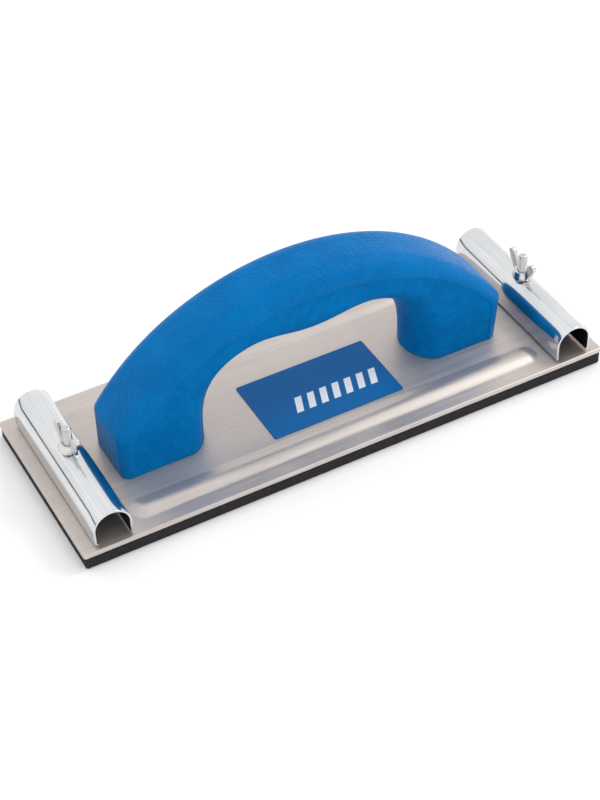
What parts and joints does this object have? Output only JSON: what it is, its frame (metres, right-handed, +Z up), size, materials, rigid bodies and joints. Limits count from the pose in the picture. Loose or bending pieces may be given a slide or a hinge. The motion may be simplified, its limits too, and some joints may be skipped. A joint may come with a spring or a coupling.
{
  "type": "hand sanding block",
  "caption": "Hand sanding block: flat plate on a foam pad under a D-shaped grip, with a half-round clamp at each end that a wing nut pulls down on the abrasive sheet.",
  "frame": {"origin": "on the pad's sole, under the middle of the base plate", "axes": "+X along the plate, +Y across it, +Z up through the handle"},
  "size_m": [0.23, 0.084, 0.0718],
  "materials": {
    "aluminium_plate": "satin, pressed sheet",
    "black_foam": "matt closed-cell foam",
    "blue_plastic": "moulded, leather grain on the crown and satin flanks",
    "label_film": "printed film",
    "zinc_steel": "bright zinc plate",
    "spring_steel": "drawn wire"
  },
  "bodies": {
    "block": {"base_plate": "aluminium_plate", "sanding_pad": "black_foam", "handle": "blue_plastic", "label": "label_film", "handle_screw_left_front": "zinc_steel", "handle_screw_left_rear": "zinc_steel", "handle_screw_right_front": "zinc_steel", "handle_screw_right_rear": "zinc_steel", "left_stud": "zinc_steel", "left_stud_nut": "zinc_steel", "left_spring": "spring_steel", "right_stud": "zinc_steel", "right_stud_nut": "zinc_steel", "right_spring": "spring_steel"},
    "left_clamp": {"left_clamp": "zinc_steel"},
    "left_wing_nut": {"left_wing_nut": "zinc_steel"},
    "right_clamp": {"right_clamp": "zinc_steel"},
    "right_wing_nut": {"right_wing_nut": "zinc_steel"}
  },
  "joints": [
    {"name": "left_clamp_lift", "type": "slide", "parent": "block", "child": "left_clamp", "axis": [0, 0, 1], "range_m": [-0.0005, 0.006], "deforming": ["left_spring"]},
    {"name": "left_nut_turn", "type": "hinge", "parent": "left_clamp", "child": "left_wing_nut", "pos_m": [-0.10175, -0.0018, 0.0229], "axis": [0, 0, 1], "range_deg": [-257.15, 3085.72]},
    {"name": "right_clamp_lift", "type": "slide", "parent": "block", "child": "right_clamp", "axis": [0, 0, 1], "range_m": [-0.0005, 0.006], "deforming": ["right_spring"]},
    {"name": "right_nut_turn", "type": "hinge", "parent": "right_clamp", "child": "right_wing_nut", "pos_m": [0.10175, -0.0018, 0.0229], "axis": [0, 0, 1], "range_deg": [-257.15, 3085.72]}
  ],
  "couplings": [
    {"joint": "left_nut_turn", "follows": "left_clamp_lift", "rad_per_m": 8976},
    {"joint": "right_nut_turn", "follows": "right_clamp_lift", "rad_per_m": 8976}
  ]
}
